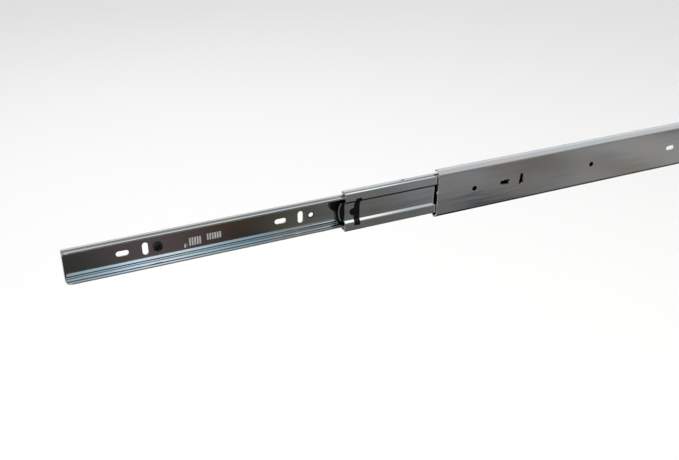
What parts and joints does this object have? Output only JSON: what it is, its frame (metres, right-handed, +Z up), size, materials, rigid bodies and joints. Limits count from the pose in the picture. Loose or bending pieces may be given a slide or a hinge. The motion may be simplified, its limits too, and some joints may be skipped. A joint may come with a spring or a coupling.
{
  "type": "drawer slide",
  "caption": "Three-member ball-bearing drawer slide, part way open, with plated steel rails, ball retainers, black stops and a release lever.",
  "frame": {"origin": "on the cabinet wall face of the cabinet member, at mid-height, at the centre of its row of screw holes", "axes": "+X along the slide into the cabinet, +Y from the cabinet wall to the drawer's side, +Z up; the drawer comes out towards -X"},
  "size_m": [0.7646, 0.0275, 0.0454],
  "materials": {
    "zinc_plated_steel": "bright zinc plating over cold-rolled strip",
    "ball_steel": "polished",
    "rivet_steel": "bright zinc plating",
    "blackened_steel": "black oxide",
    "black_plastic": "moulded, satin",
    "black_rubber": "moulded rubber"
  },
  "bodies": {
    "cabinet": {"cabinet_member": "zinc_plated_steel", "cabinet_rear_bumper": "black_rubber"},
    "outer_retainer": {"outer_ball_retainer": "zinc_plated_steel", "outer_balls_upper": "ball_steel", "outer_balls_lower": "ball_steel"},
    "middle": {"middle_member": "zinc_plated_steel", "middle_front_bumper": "black_plastic", "middle_rear_bumper": "black_plastic", "middle_rear_rivet": "rivet_steel"},
    "inner_retainer": {"inner_ball_retainer": "zinc_plated_steel", "retainer_nose": "black_plastic", "inner_balls_upper": "ball_steel", "inner_balls_lower": "ball_steel"},
    "drawer": {"drawer_member": "zinc_plated_steel", "lever_washer": "rivet_steel", "lever_rivet": "rivet_steel", "drawer_tail_catch": "black_plastic", "tail_catch_rivet": "rivet_steel", "drawer_screws": "blackened_steel"},
    "lever": {"release_lever": "black_plastic"}
  },
  "joints": [
    {"name": "middle_slide", "type": "slide", "parent": "cabinet", "child": "middle", "axis": [-1, 0, 0], "range_m": [-0.097, 0.137]},
    {"name": "outer_retainer_slide", "type": "slide", "parent": "cabinet", "child": "outer_retainer", "axis": [-1, 0, 0], "range_m": [-0.0485, 0.0685]},
    {"name": "drawer_slide", "type": "slide", "parent": "middle", "child": "drawer", "axis": [-1, 0, 0], "range_m": [-0.216, 0]},
    {"name": "inner_retainer_slide", "type": "slide", "parent": "middle", "child": "inner_retainer", "axis": [-1, 0, 0], "range_m": [-0.108, 0]},
    {"name": "release_lever_turn", "type": "hinge", "parent": "drawer", "child": "lever", "pos_m": [-0.304, 0.01025, 0], "axis": [0, -1, 0], "range_deg": [0, 4], "stiffness_Nm_per_rad": 0.05}
  ],
  "couplings": [
    {"joint": "outer_retainer_slide", "follows": "middle_slide", "ratio": 0.5},
    {"joint": "inner_retainer_slide", "follows": "drawer_slide", "ratio": 0.5}
  ]
}
